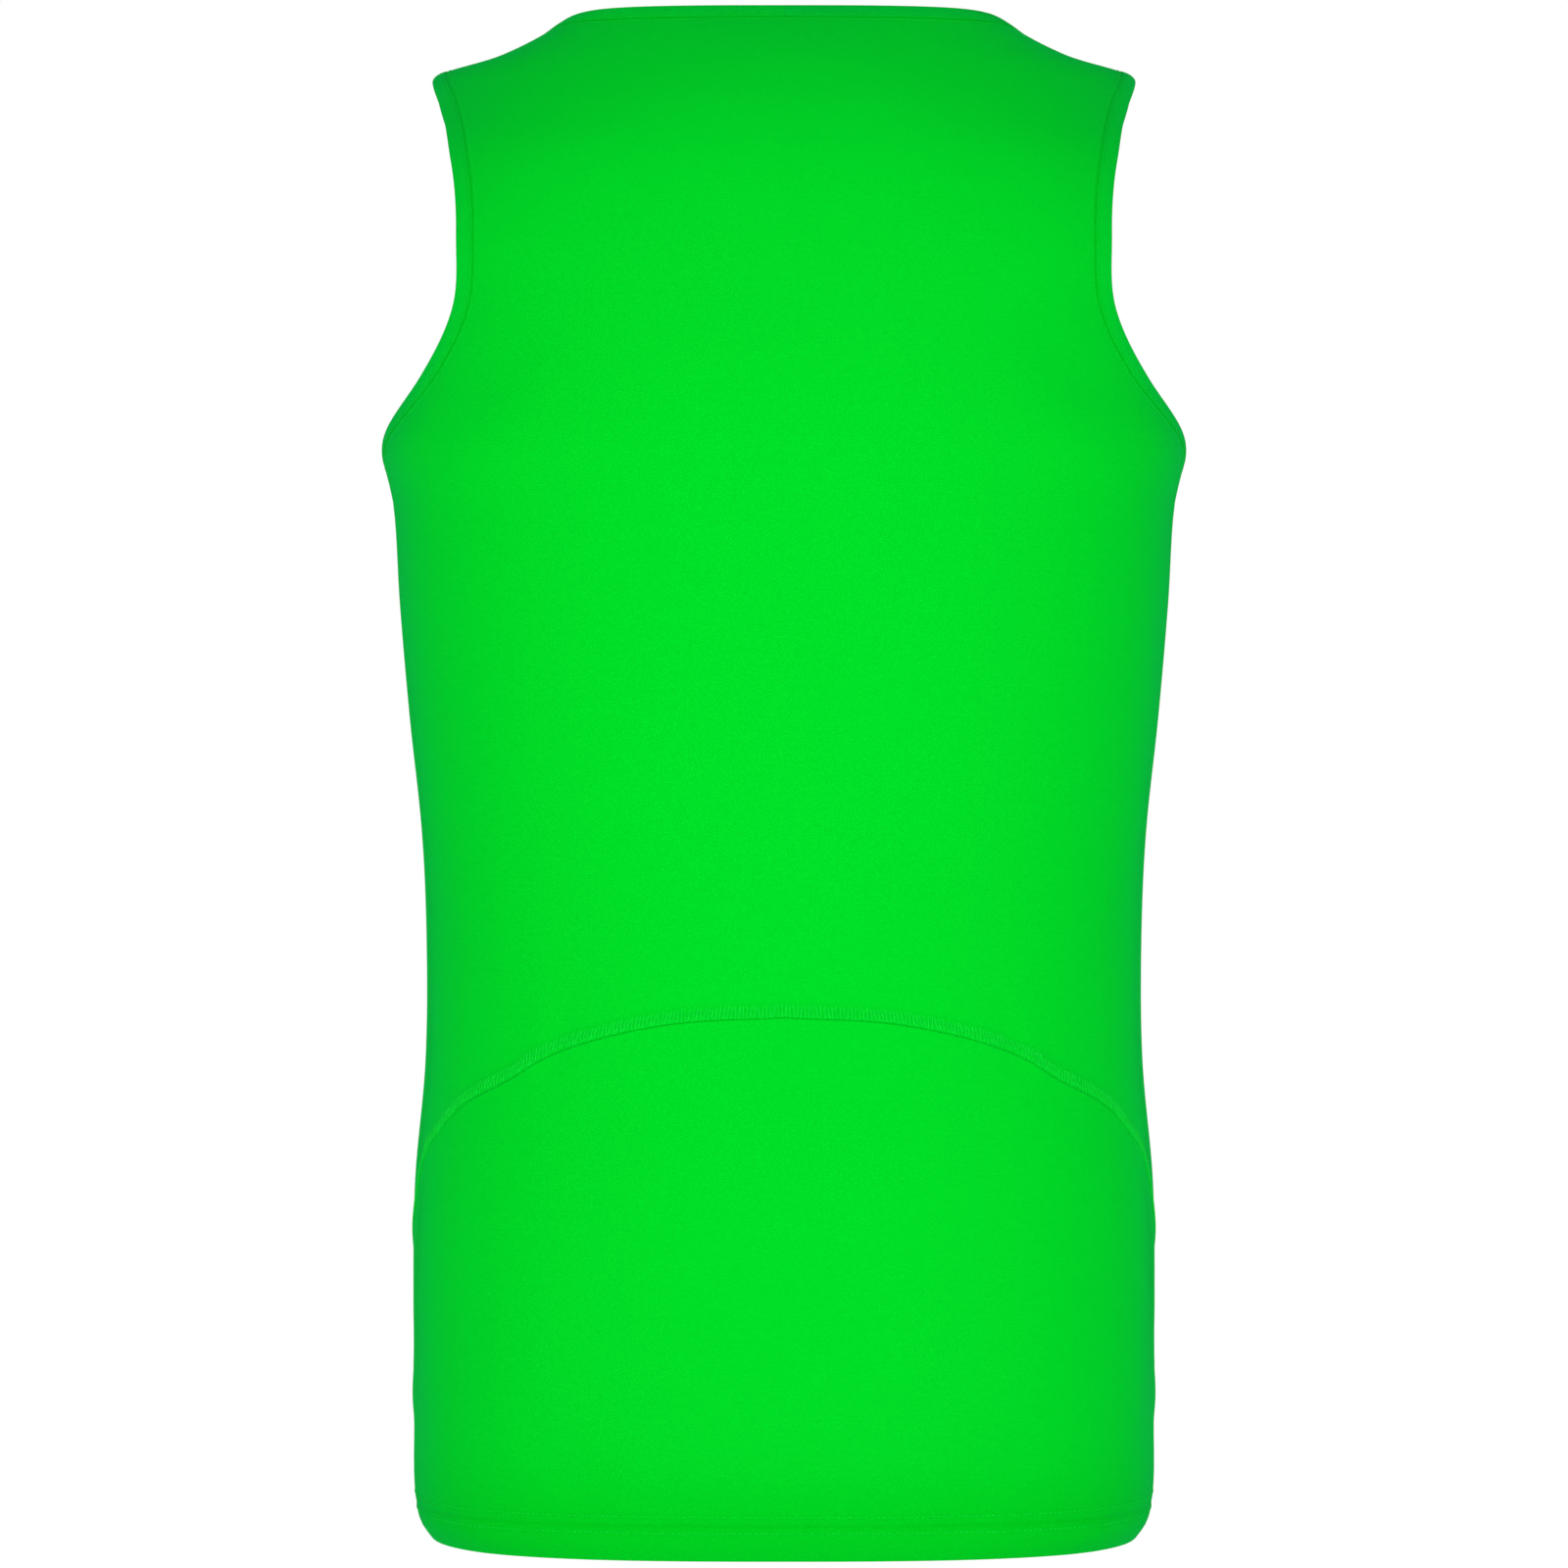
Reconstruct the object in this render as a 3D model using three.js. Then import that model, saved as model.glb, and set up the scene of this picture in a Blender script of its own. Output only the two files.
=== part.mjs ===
// Sports tank top: a sleeveless running top, filled out as it is when worn, with nobody in it.
// Millimetres, +Z up. The wearer's front faces -Y and the back +Y, so the wearer's left is +X.
// The origin lies between the shoulders, level with the inner half of the two shoulder seams.
import * as THREE from 'three';

// ---------- driving sizes ----------

const clothWall = 1.2; // a panel of interlock knit
const hemWall = 2.2; // the same cloth turned up once
const hemDepth = 16; // lower edge to the row of hem stitches
const hemStep = 1.5; // run over which the doubled hem thins to one layer
const seamGap = 0.3; // clearance between two pieces sewn together
const carryHeight = 691; // the origin above the hem

const neckTape = { width: 9, proud: 0.6, wall: 2.4 };
const armholeTape = { width: 9.2, proud: 0.6, wall: 2.4 };

// How soon a ring leaves the height of its seam on the way to the middle: more is sooner.
const backRiseSharpness = 29;
const frontRiseSharpness = 3.4;

// The garment's form, a ring for each row. Travel runs up the side seam and over the shoulder to the
// neck. Height is the ring's height above the hem at the side or shoulder seam; backRise and frontRise
// are how much higher it lies at the middle of the back and of the front. A squareness of 2 is an ellipse.
const ringColumns = [
  'travel', 'height', 'backRise', 'frontRise', 'halfWidth',
  'backDepth', 'frontDepth', 'backSquare', 'frontSquare',
];
const ringRows = [
  [0, 0.8, -1.7, -1, 165, 103, 98, 2.85, 2.8], // hem edge, drawn in a little
  [7, 7.6, -1.5, -1, 169.6, 105.5, 100.5, 2.9, 2.8],
  [16, 16.6, -1.2, -1, 171.8, 106.5, 101.5, 2.9, 2.8], // hem stitches
  [55, 55, 0, 0, 172.7, 108, 103, 2.9, 2.7],
  [110, 110, 0, 0, 173.2, 108, 103, 2.8, 2.6], // hips
  [165, 165, 0, 0, 172.5, 103, 102, 2.7, 2.5],
  [220, 220, 0, 0, 167.8, 96, 101, 2.6, 2.4],
  [270, 270, 0, 0, 167.2, 93, 101, 2.6, 2.4], // waist
  [325, 325, 0, 0, 169.3, 95, 103, 2.6, 2.4],
  [380, 380, 0, 0, 175, 101, 107, 2.7, 2.4],
  [435, 435, 0, 0, 179.6, 107, 113, 2.8, 2.5],
  [480, 480, 0, -4, 182.4, 111, 117, 2.9, 2.6], // chest
  [505, 505, 0, -10, 187, 113, 118, 3, 2.6], // underarm
  [535, 535, 0, -23, 179.2, 114, 118, 3, 2.6],
  [565, 565, 0, -40, 175.2, 113, 117, 3.1, 2.6],
  [600, 600, -1, -60, 182.2, 110, 115, 3.2, 2.6], // shoulder blades
  [635, 635, -2, -76, 178.6, 104, 112, 2.9, 2.5],
  [664, 663.3, -4.4, -90, 170.5, 94.7, 107, 2.4, 2.3],
  [682.5, 679.4, -5.3, -97, 163.8, 86.1, 103, 2.2, 2.2], // shoulder tip
  [691, 682.6, -2.7, -96, 157.5, 82.1, 101, 2.2, 2.1],
  [711, 684.8, 4.7, -92, 138.3, 74.3, 98, 2.4, 2.1],
  [726, 688.6, 9.3, -90, 121.6, 66.4, 95.7, 2.7, 2.1],
  [740, 693.7, 13.1, -89, 106.5, 57.1, 93, 3.1, 2.1], // neck edge
];

const underarmTravel = 505;
const tipTravel = 682.5;
const neckTravel = 740;

// The armhole's edge runs from the underarm up to the shoulder tip, cut into the back and the front by
// at most these angles, measured round the body from the side. A pinch over 1 draws that end together.
const armholeCut = {
  back: { angle: 30.5, lowPinch: 1.16, highPinch: 1.37 },
  front: { angle: 32, lowPinch: 0.55, highPinch: 1.32 },
};

// The seam that curves over the small of the back and runs down to the side seams: height above the
// hem at each angle round from the middle of the back.
const archColumns = ['angle', 'height'];
const archRows = [
  [0, 244],
  [30, 240.5],
  [45, 233],
  [53, 225],
  [58, 216],
  [67, 202],
  [72, 189],
  [76, 177],
  [80, 153],
  [90, 128],
];

// Cross-section of a folded tape: across from its free edge to its seam, as a share of its width, and
// through it from its inner face to its outer face, as a share of its wall.
const tapeColumns = ['across', 'through'];
const tapeRows = [
  [0, 0.5],
  [0.05, 0.82],
  [0.22, 1],
  [0.94, 1],
  [1, 0.88],
  [1, 0.12],
  [0.94, 0],
  [0.22, 0],
  [0.05, 0.18],
];

// Grid steps of the panels and tapes.
const panelColumns = 32;
const lowerRows = 9;
const upperRows = 11;
const frontBodyRows = 16;
const armholeRows = 24;
const shoulderRows = 4;
const sideCrowding = 0.25; // how much closer together a panel's columns lie at its sides,
const armholeCrowding = 0.6; // and an armhole's rows at its lowest and its highest point
const underarmDip = 55; // how far the row that meets the underarm drops on its way to the middle

const clothGreen = 0x00d428;
const tapeGreen = 0x00c82c;

// ---------- tables and the form's surface ----------

const quarterTurn = Math.PI / 2;

// Small steps for reading a direction off the form or off an edge.
const turnStep = 0.002;
const travelStep = 0.2;
const shareStep = 0.004;
const archStep = 0.01;

// The rows of a table as records with the columns' names.
function namedRows(columns, rows) {
  return rows.map((row) => Object.fromEntries(columns.map((name, index) => [name, row[index]])));
}

// A smooth curve through the rows of a table, read at any value of the first column.
function smoothTable(columns, rows) {
  const keys = rows.map((row) => row[0]);
  const values = rows.flatMap((row) => row.slice(1));
  const curve = new THREE.CubicInterpolant(keys, values, columns.length - 1);
  return (key) => {
    const read = curve.evaluate(key);
    return Object.fromEntries(columns.slice(1).map((name, index) => [name, read[index]]));
  };
}

const ringAt = smoothTable(ringColumns, ringRows);
const archAt = smoothTable(archColumns, archRows);
const tapeSection = namedRows(tapeColumns, tapeRows);

// A point on the outside of the form. The angle is 0 at the middle of the back, a quarter turn at the
// wearer's left side seam and half a turn at the middle of the front.
function formPoint({ angle, travel }) {
  const ring = ringAt(travel);
  const alongX = Math.sin(angle);
  const alongY = Math.cos(angle);
  const onBack = alongY >= 0;
  const depth = onBack ? ring.backDepth : ring.frontDepth;
  const square = onBack ? ring.backSquare : ring.frontSquare;
  const rise = onBack ? ring.backRise : ring.frontRise;
  const sharpness = onBack ? backRiseSharpness : frontRiseSharpness;
  const acrossShare = Math.abs(alongX / ring.halfWidth) ** square;
  const deepShare = Math.abs(alongY / depth) ** square;
  const reach = (acrossShare + deepShare) ** (-1 / square);
  const height = ring.height + rise * (1 - Math.abs(alongX) ** sharpness);
  return new THREE.Vector3(reach * alongX, reach * alongY, height);
}

// The two directions in the cloth at a place: round the body and up the ring travel.
function clothDirections({ angle, travel }) {
  const low = Math.max(travel - travelStep, 0);
  const high = Math.min(travel + travelStep, neckTravel);
  const ahead = formPoint({ angle: angle + turnStep, travel });
  const round = ahead.sub(formPoint({ angle: angle - turnStep, travel }));
  const up = formPoint({ angle, travel: high }).sub(formPoint({ angle, travel: low }));
  return { round: round.divideScalar(2 * turnStep), up: up.divideScalar(high - low) };
}

// The direction out of the cloth.
function outOfCloth(place) {
  const { round, up } = clothDirections(place);
  return up.cross(round).normalize();
}

// A point a given way out of the form's outside, or into it where that is negative.
function offForm(place, out) {
  return formPoint(place).addScaledVector(outOfCloth(place), out);
}

// The place in the cloth at a distance from an edge, square to it. The edge is a closed curve of
// places, and holeMiddle is a point in the hole that it runs round.
function stepFromEdge(edge, share, distance, holeMiddle) {
  const place = edge(share);
  const before = edge(share - shareStep);
  const after = edge(share + shareStep);
  const { round, up } = clothDirections(place);
  const along = formPoint(after).sub(formPoint(before)).normalize();
  const into = outOfCloth(place).cross(along).normalize();
  if (into.dot(formPoint(place).sub(holeMiddle)) < 0) into.negate();
  const roundRound = round.dot(round);
  const roundUp = round.dot(up);
  const upUp = up.dot(up);
  const spread = roundRound * upUp - roundUp * roundUp;
  const turn = (into.dot(round) * upUp - into.dot(up) * roundUp) / spread;
  const climb = (into.dot(up) * roundRound - into.dot(round) * roundUp) / spread;
  return { angle: place.angle + turn * distance, travel: place.travel + climb * distance };
}

// ---------- edges ----------

// The armhole's edge on the wearer's left. Share 0 is the underarm, 0.5 the shoulder tip; the first
// half runs up the back and the second down the front.
function armholeEdge(share) {
  const sway = Math.sin(2 * Math.PI * share);
  const climbed = (1 - Math.cos(2 * Math.PI * share)) / 2;
  const cut = sway >= 0 ? armholeCut.back : armholeCut.front;
  const pinch = THREE.MathUtils.lerp(cut.lowPinch, cut.highPinch, climbed);
  const inset = THREE.MathUtils.degToRad(cut.angle) * Math.abs(sway) ** pinch;
  return {
    angle: quarterTurn - Math.sign(sway) * inset,
    travel: THREE.MathUtils.lerp(underarmTravel, tipTravel, climbed),
  };
}

// The neck's edge, all round from the middle of the back.
function neckEdge(share) {
  return { angle: 2 * Math.PI * share, travel: neckTravel };
}

const armholeMiddle = formPoint({ angle: quarterTurn, travel: underarmTravel })
  .add(formPoint({ angle: quarterTurn, travel: tipTravel }))
  .multiplyScalar(0.5);
const neckMiddle = new THREE.Vector3(0, 0, ringAt(neckTravel).height);

const inArmholeCloth = (share, distance) => stepFromEdge(armholeEdge, share, distance, armholeMiddle);
const inNeckCloth = (share, distance) => stepFromEdge(neckEdge, share, distance, neckMiddle);

// ---------- solids ----------

// A closed solid from its points and its four-sided faces, each split along its shorter diagonal.
function solid(points, faces) {
  const triangles = faces.flatMap(([a, b, c, d]) => {
    const straight = points[a].distanceTo(points[c]) <= points[b].distanceTo(points[d]);
    return straight ? [a, b, c, a, c, d] : [b, c, d, b, d, a];
  });
  const geometry = new THREE.BufferGeometry().setFromPoints(points);
  geometry.setIndex(triangles);
  geometry.computeVertexNormals();
  return geometry;
}

// A wall of cloth from two grids of points, its outer and its inner face. Rows run up and columns run
// so that the outer face is anticlockwise from outside.
function wallBetween(outer, inner) {
  const lastRow = outer.length - 1;
  const lastColumn = outer[0].length - 1;
  const onOuter = ([row, column]) => row * (lastColumn + 1) + column;
  const onInner = (place) => outer.flat().length + onOuter(place);
  const faces = [];
  const close = (from, to) => faces.push([onOuter(from), onInner(from), onInner(to), onOuter(to)]);
  for (let row = 0; row < lastRow; row += 1) {
    for (let column = 0; column < lastColumn; column += 1) {
      const corners = [[row, column], [row, column + 1], [row + 1, column + 1], [row + 1, column]];
      faces.push(corners.map(onOuter), corners.toReversed().map(onInner));
    }
  }
  for (let column = 0; column < lastColumn; column += 1) {
    close([0, column], [0, column + 1]);
    close([lastRow, column + 1], [lastRow, column]);
  }
  for (let row = 0; row < lastRow; row += 1) {
    close([row + 1, 0], [row, 0]);
    close([row, lastColumn], [row + 1, lastColumn]);
  }
  return solid([...outer.flat(), ...inner.flat()], faces);
}

// A closed ring of sections, each a closed loop of points.
function ringOfSections(sections) {
  const around = sections.length;
  const across = sections[0].length;
  const pointAt = (section, corner) => (section % around) * across + corner % across;
  const faces = sections.flatMap((points, here) => points.map((_, corner) => [
    pointAt(here, corner),
    pointAt(here, corner + 1),
    pointAt(here + 1, corner + 1),
    pointAt(here + 1, corner),
  ]));
  return solid(sections.flat(), faces);
}

// ---------- panels ----------

function evenly(count, from, to) {
  return Array.from({ length: count + 1 }, (_, index) => THREE.MathUtils.lerp(from, to, index / count));
}

// How far from the side or shoulder seam a panel stops, as an angle.
const seamAngle = (travel) => seamGap / 2 / ringAt(travel).halfWidth;

// Shares of a panel's half span at its columns, closer together towards the side seams.
const columnShares = evenly(panelColumns, 1, -1)
  .map((even) => even * (1 + sideCrowding * (1 - even ** 2)));

// Shares of the armhole's edge from the underarm to the shoulder tip, up the back.
const armholeShares = evenly(armholeRows, 0, 1).map((even) => {
  const eased = (1 - Math.cos(Math.PI * even)) / 2;
  return THREE.MathUtils.lerp(even, eased, armholeCrowding) / 2;
});

// A row of places across a panel, from one edge to the other. `middle` is the angle at its middle,
// `halfSpan` the angle from there to an edge, and `travelAt` the travel at a share from -1 to 1.
function acrossPanel(middle, halfSpan, travelAt) {
  return columnShares.map((share) => {
    const angle = middle + share * halfSpan;
    return { angle, travel: travelAt(share, angle) };
  });
}

// Rows that change evenly from the row `from` to the row `to`, without the first.
function rowsBetween(from, to, count) {
  return evenly(count, 0, 1).slice(1).map((share) => from.map((place, index) => ({
    angle: THREE.MathUtils.lerp(place.angle, to[index].angle, share),
    travel: THREE.MathUtils.lerp(place.travel, to[index].travel, share),
  })));
}

// A straight row from side seam to side seam.
function levelRow(middle, travel) {
  return acrossPanel(middle, quarterTurn - seamAngle(travel), () => travel);
}

// The rows from the underarm to the shoulder tip. Each ends at the armhole's tape, and they lie evenly
// apart at the panel's middle.
function armholeZone(middle) {
  const onBack = middle === 0;
  const ends = armholeShares
    .map((share) => inArmholeCloth(onBack ? share : 1 - share, armholeTape.width + seamGap));
  const middles = evenly(armholeRows, ends[0].travel - underarmDip, ends[armholeRows].travel);
  return ends.map((end, index) => {
    const fromMiddle = onBack ? end.angle : Math.PI - end.angle;
    const halfSpan = Math.min(fromMiddle, quarterTurn - seamAngle(end.travel));
    const travelAt = (share) => THREE.MathUtils.lerp(middles[index], end.travel, share ** 2);
    return acrossPanel(middle, halfSpan, travelAt);
  });
}

// The row that meets the neck's tape.
function neckRow(middle) {
  return levelRow(middle, neckTravel).map((place, index) => {
    const inside = inNeckCloth(place.angle / 2 / Math.PI, neckTape.width + seamGap);
    const atSeam = index === 0 || index === panelColumns;
    return { angle: atSeam ? place.angle : inside.angle, travel: inside.travel };
  });
}

// The row that meets the arched seam, on its upper side or its lower side. The gap is kept square to
// the seam where that climbs.
function archRow(side) {
  const heightAt = (angle) => archAt(THREE.MathUtils.radToDeg(Math.abs(angle))).height;
  return acrossPanel(0, quarterTurn - seamAngle(heightAt(quarterTurn)), (share, angle) => {
    const turned = Math.abs(angle);
    const level = heightAt(turned);
    const inward = { angle: turned - archStep, travel: level };
    const across = formPoint({ angle: turned, travel: level }).distanceTo(formPoint(inward));
    const slope = (heightAt(inward.angle) - level) / across;
    return level + side * seamGap / 2 * Math.hypot(1, slope);
  });
}

function wallAt(travel) {
  const thinned = THREE.MathUtils.clamp((travel - hemDepth) / hemStep, 0, 1);
  return THREE.MathUtils.lerp(hemWall, clothWall, thinned);
}

function panel(rows) {
  const outer = rows.map((row) => row.map((place) => offForm(place, 0)));
  const inner = rows.map((row) => row.map((place) => offForm(place, -wallAt(place.travel))));
  return wallBetween(outer, inner);
}

function hemRows(middle) {
  return [0, hemDepth / 2, hemDepth, hemDepth + hemStep].map((travel) => levelRow(middle, travel));
}

function topRows(middle, bottomRow, bodyRows) {
  const armhole = armholeZone(middle);
  const body = rowsBetween(bottomRow, armhole[0], bodyRows);
  const shoulder = rowsBetween(armhole[armholeRows], neckRow(middle), shoulderRows);
  return [...body, ...armhole.slice(1), ...shoulder];
}

function backLower() {
  const hem = hemRows(0);
  return panel([...hem, ...rowsBetween(hem[hem.length - 1], archRow(-1), lowerRows)]);
}

function backUpper() {
  const bottom = archRow(1);
  return panel([bottom, ...topRows(0, bottom, upperRows)]);
}

function front() {
  const hem = hemRows(Math.PI);
  return panel([...hem, ...topRows(Math.PI, hem[hem.length - 1], frontBodyRows)]);
}

// ---------- tapes round the neck and the armholes ----------

// A folded tape along an edge, a section at each share of the way round it. `inCloth` gives the place
// in the cloth at a distance from the edge.
function foldedTape(shares, inCloth, tape) {
  const sections = shares.map((share) => tapeSection.map(({ across, through }) => {
    const place = inCloth(share, across * tape.width);
    return offForm(place, tape.proud - tape.wall * (1 - through));
  }));
  return ringOfSections(sections);
}

function neckTapeSolid() {
  const alongBack = columnShares.slice(1).map((share) => share / 4);
  const alongFront = alongBack.map((share) => share + 0.5);
  return foldedTape([...alongBack, ...alongFront], inNeckCloth, neckTape);
}

function armholeTapeSolid() {
  const downFront = armholeShares.slice(1, -1).map((share) => 1 - share).reverse();
  return foldedTape([...armholeShares, ...downFront], inArmholeCloth, armholeTape);
}

// The same shape on the wearer's right, with its faces turned to point out again.
function mirrored(geometry) {
  const turned = geometry.clone().scale(-1, 1, 1);
  const corners = turned.index.array;
  for (let first = 0; first < corners.length; first += 3) {
    [corners[first], corners[first + 1]] = [corners[first + 1], corners[first]];
  }
  turned.computeVertexNormals();
  return turned;
}

// ---------- the garment ----------

const cloth = new THREE.MeshStandardMaterial({ color: clothGreen, roughness: 0.85, metalness: 0 });
const tapeCloth = new THREE.MeshStandardMaterial({ color: tapeGreen, roughness: 0.85, metalness: 0 });

const garment = new THREE.Group();
garment.position.z = -carryHeight;

function addPiece(name, geometry, material) {
  const mesh = new THREE.Mesh(geometry, material);
  mesh.name = name;
  garment.add(mesh);
}

const leftTape = armholeTapeSolid();
addPiece('back_upper', backUpper(), cloth);
addPiece('back_lower', backLower(), cloth);
addPiece('front', front(), cloth);
addPiece('neck_binding', neckTapeSolid(), tapeCloth);
addPiece('armhole_binding_left', leftTape, tapeCloth);
addPiece('armhole_binding_right', mirrored(leftTape), tapeCloth);

const top = new THREE.Group();
top.add(garment);

export default top;
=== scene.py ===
import math

import bpy
import numpy as np
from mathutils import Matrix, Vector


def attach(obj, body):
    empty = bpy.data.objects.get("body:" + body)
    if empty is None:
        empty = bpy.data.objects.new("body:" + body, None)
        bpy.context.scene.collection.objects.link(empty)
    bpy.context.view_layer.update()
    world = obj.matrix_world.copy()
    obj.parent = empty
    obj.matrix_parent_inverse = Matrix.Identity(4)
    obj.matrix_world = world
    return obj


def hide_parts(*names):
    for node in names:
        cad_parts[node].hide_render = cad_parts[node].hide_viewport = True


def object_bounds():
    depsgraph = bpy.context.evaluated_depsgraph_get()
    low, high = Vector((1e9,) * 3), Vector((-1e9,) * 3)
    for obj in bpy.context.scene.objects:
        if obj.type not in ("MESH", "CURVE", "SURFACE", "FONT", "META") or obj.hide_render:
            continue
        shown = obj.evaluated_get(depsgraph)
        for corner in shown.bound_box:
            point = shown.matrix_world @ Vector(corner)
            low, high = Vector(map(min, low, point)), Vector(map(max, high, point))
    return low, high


# Sports tank top: a sleeveless running top, filled out as it is when worn, with nobody in it.
# Lengths are worked out in millimetres above the hem and turned into metres as each mesh is made.

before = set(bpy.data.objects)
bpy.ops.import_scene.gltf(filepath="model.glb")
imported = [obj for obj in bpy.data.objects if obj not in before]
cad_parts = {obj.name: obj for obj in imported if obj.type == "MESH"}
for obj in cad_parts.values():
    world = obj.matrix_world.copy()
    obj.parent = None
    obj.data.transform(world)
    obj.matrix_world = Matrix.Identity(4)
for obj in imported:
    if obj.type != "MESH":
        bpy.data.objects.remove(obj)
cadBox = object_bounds()
print("frame loaded:", ", ".join(sorted(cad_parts)))

mm = 0.001
quarterTurn = math.pi / 2
white = (1, 1, 1, 1)

# The garment's form, a ring for each row. Travel runs up the side seam and over the shoulder to the
# neck. backRise and frontRise are how much higher the ring lies at the middle of the back and front.
form = {
    "carryHeight": 691,  # the origin above the hem
    "backRiseSharpness": 29,
    "frontRiseSharpness": 3.4,
    "underarmTravel": 505,
    "tipTravel": 682.5,
    "neckTravel": 740,
    "turnStep": 0.002,  # steps for measuring directions in the cloth
    "travelStep": 0.2,
    "shareStep": 0.004,
    "archStep": 0.01,
}
ringColumns = [
    "travel", "height", "backRise", "frontRise", "halfWidth",
    "backDepth", "frontDepth", "backSquare", "frontSquare",
]
ringRows = [
    [0, 0.8, -1.7, -1, 165, 103, 98, 2.85, 2.8],  # hem edge, drawn in a little
    [7, 7.6, -1.5, -1, 169.6, 105.5, 100.5, 2.9, 2.8],
    [16, 16.6, -1.2, -1, 171.8, 106.5, 101.5, 2.9, 2.8],  # hem stitches
    [55, 55, 0, 0, 172.7, 108, 103, 2.9, 2.7],
    [110, 110, 0, 0, 173.2, 108, 103, 2.8, 2.6],  # hips
    [165, 165, 0, 0, 172.5, 103, 102, 2.7, 2.5],
    [220, 220, 0, 0, 167.8, 96, 101, 2.6, 2.4],
    [270, 270, 0, 0, 167.2, 93, 101, 2.6, 2.4],  # waist
    [325, 325, 0, 0, 169.3, 95, 103, 2.6, 2.4],
    [380, 380, 0, 0, 175, 101, 107, 2.7, 2.4],
    [435, 435, 0, 0, 179.6, 107, 113, 2.8, 2.5],
    [480, 480, 0, -4, 182.4, 111, 117, 2.9, 2.6],  # chest
    [505, 505, 0, -10, 187, 113, 118, 3, 2.6],  # underarm
    [535, 535, 0, -23, 179.2, 114, 118, 3, 2.6],
    [565, 565, 0, -40, 175.2, 113, 117, 3.1, 2.6],
    [600, 600, -1, -60, 182.2, 110, 115, 3.2, 2.6],  # shoulder blades
    [635, 635, -2, -76, 178.6, 104, 112, 2.9, 2.5],
    [664, 663.3, -4.4, -90, 170.5, 94.7, 107, 2.4, 2.3],
    [682.5, 679.4, -5.3, -97, 163.8, 86.1, 103, 2.2, 2.2],  # shoulder tip
    [691, 682.6, -2.7, -96, 157.5, 82.1, 101, 2.2, 2.1],
    [711, 684.8, 4.7, -92, 138.3, 74.3, 98, 2.4, 2.1],
    [726, 688.6, 9.3, -90, 121.6, 66.4, 95.7, 2.7, 2.1],
    [740, 693.7, 13.1, -89, 106.5, 57.1, 93, 3.1, 2.1],  # neck edge
]

# The armhole is cut into the back and the front by at most these angles, round from the side. The
# higher a pinch, the narrower its lower or upper end.
armholeCut = {
    "back": {"angle": 30.5, "lowPinch": 1.16, "highPinch": 1.37},
    "front": {"angle": 32, "lowPinch": 0.55, "highPinch": 1.32},
}

# The seam over the small of the back: height above the hem at each angle from the middle.
archRows = [
    [0, 244],
    [30, 240.5],
    [45, 233],
    [53, 225],
    [58, 216],
    [67, 202],
    [72, 189],
    [76, 177],
    [80, 153],
    [90, 128],
]


def lerp(start, end, share):
    return start + (end - start) * share


# A smooth curve through the rows of a table, read at any values of the first column.
def smoothTable(rows):
    keys = np.array([row[0] for row in rows], float)
    values = np.array([row[1:] for row in rows], float)
    last = len(keys) - 1

    def read(key):
        key = np.clip(np.asarray(key, float), keys[0], keys[-1])
        high = np.clip(np.searchsorted(keys, key, side="right"), 1, last)
        low = high - 1
        before = np.where(low > 0, low - 1, high)
        after = np.where(high < last, np.minimum(high + 1, last), low)
        span = keys[high] - keys[low]
        pullBefore = span / 2 / (keys[low] - keys[before])
        pullAfter = span / 2 / (keys[after] - keys[high])
        x = (key - keys[low]) / span
        xx = x * x
        xxx = xx * x
        shareBefore = -pullBefore * (xxx - 2 * xx + x)
        shareLow = (1 + pullBefore) * xxx - (1.5 + 2 * pullBefore) * xx + (pullBefore - 0.5) * x + 1
        shareHigh = -(1 + pullAfter) * xxx + (1.5 + pullAfter) * xx + 0.5 * x
        shareAfter = pullAfter * (xxx - xx)
        return (
            shareBefore[..., None] * values[before]
            + shareLow[..., None] * values[low]
            + shareHigh[..., None] * values[high]
            + shareAfter[..., None] * values[after]
        )

    return read


readRing = smoothTable(ringRows)
readArch = smoothTable(archRows)


def ringAt(travel):
    read = readRing(travel)
    return {name: read[..., index] for index, name in enumerate(ringColumns[1:])}


# Points on the outside of the form. The angle is 0 at the middle of the back, a quarter turn at the
# wearer's left side seam and half a turn at the middle of the front.
def formPoint(angle, travel):
    angle, travel = np.broadcast_arrays(np.asarray(angle, float), np.asarray(travel, float))
    ring = ringAt(travel)
    alongX = np.sin(angle)
    alongY = np.cos(angle)
    onBack = alongY >= 0
    depth = np.where(onBack, ring["backDepth"], ring["frontDepth"])
    square = np.where(onBack, ring["backSquare"], ring["frontSquare"])
    rise = np.where(onBack, ring["backRise"], ring["frontRise"])
    sharpness = np.where(onBack, form["backRiseSharpness"], form["frontRiseSharpness"])
    acrossShare = np.abs(alongX / ring["halfWidth"]) ** square
    reach = (acrossShare + np.abs(alongY / depth) ** square) ** (-1 / square)
    height = ring["height"] + rise * (1 - np.abs(alongX) ** sharpness)
    return np.stack([reach * alongX, reach * alongY, height], -1)


def unit(vectors):
    return vectors / np.linalg.norm(vectors, axis=-1, keepdims=True)


# The two directions in the cloth at each place: round the body, and up the travel.
def clothDirections(angle, travel):
    low = np.maximum(travel - form["travelStep"], 0)
    high = np.minimum(travel + form["travelStep"], form["neckTravel"])
    turn = form["turnStep"]
    around = (formPoint(angle + turn, travel) - formPoint(angle - turn, travel)) / (2 * turn)
    up = (formPoint(angle, high) - formPoint(angle, low)) / (high - low)[..., None]
    return around, up


def outOfCloth(angle, travel):
    around, up = clothDirections(angle, travel)
    return unit(np.cross(up, around))


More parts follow.
